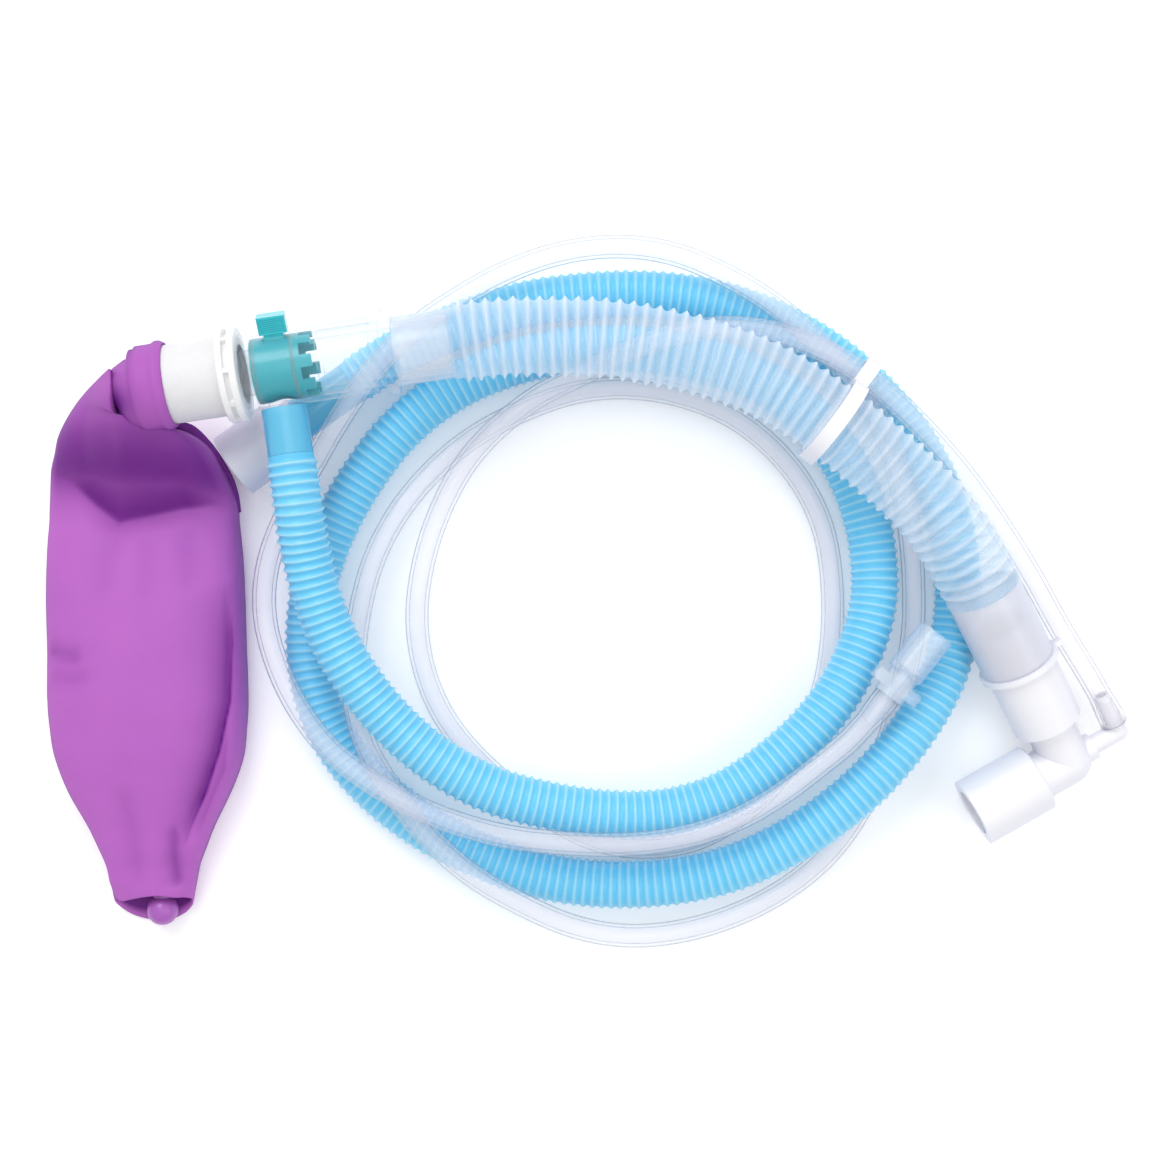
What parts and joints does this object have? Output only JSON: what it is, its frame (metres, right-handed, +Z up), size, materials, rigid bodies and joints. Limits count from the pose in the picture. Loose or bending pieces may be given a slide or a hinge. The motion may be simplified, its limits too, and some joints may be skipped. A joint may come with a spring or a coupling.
{
  "type": "t-piece breathing circuit",
  "caption": "Paediatric T-piece breathing circuit: open-tailed reservoir bag on a swivel, turning exhaust valve, corrugated limb, scavenging hose, elbow with gas tube.",
  "frame": {"origin": "middle of the underside of the box round the rigid set and its bag, without the hoses' free ends", "axes": "+Z up from the surface the coil lies on; +X from the bag towards the patient elbow; +Y from the patient port side towards the valve"},
  "size_m": [0.344, 0.2256, 0.055],
  "materials": {
    "purple_film": "soft matt thin elastomer",
    "purple_plug": "soft satin elastomer",
    "white_plastic": "fine matt moulded",
    "offwhite_plastic": "satin moulded",
    "clear_plastic": "clear polished",
    "teal_plastic": "smooth moulded",
    "seal_rubber": "translucent silicone",
    "blue_film": "thin translucent wall",
    "clear_film": "thin milky wall",
    "cuff_film": "soft translucent cuff",
    "frosted_plastic": "frosted translucent",
    "lilac_plastic": "frosted translucent",
    "clear_tubing": "clear flexible tube"
  },
  "bodies": {
    "circuit": {"swivel_seal": "seal_rubber", "valve_housing": "clear_plastic", "port_cuff": "blue_film", "outlet_adapter": "clear_plastic", "limb_cuff_valve": "cuff_film", "breathing_limb": "clear_film", "limb_cuff_patient": "cuff_film", "tube_clip": "frosted_plastic", "patient_sleeve": "frosted_plastic", "elbow": "frosted_plastic", "gas_inlet": "frosted_plastic", "gas_tube": "clear_tubing", "gas_connector": "clear_plastic", "scavenging_hose": "blue_film", "hose_end_cuff": "blue_film", "scavenging_connector": "lilac_plastic"},
    "bag": {"breathing_bag": "purple_film", "tail_plug": "purple_plug", "bag_bushing": "white_plastic", "swivel_ring": "offwhite_plastic"},
    "valve": {"valve_sleeve": "teal_plastic", "thumb_tab": "teal_plastic", "sleeve_seal_bag": "seal_rubber", "sleeve_seal_patient": "seal_rubber"}
  },
  "joints": [
    {"name": "bag_swivel", "type": "hinge", "parent": "circuit", "child": "bag", "pos_m": [-0.0941, 0.0782, 0.04], "axis": [-0.9895, -0.1444, 0], "range_deg": [0, 180]},
    {"name": "valve_turn", "type": "hinge", "parent": "circuit", "child": "valve", "pos_m": [-0.0941, 0.0782, 0.04], "axis": [0.9895, 0.1444, 0], "range_deg": [-75, 0]}
  ]
}
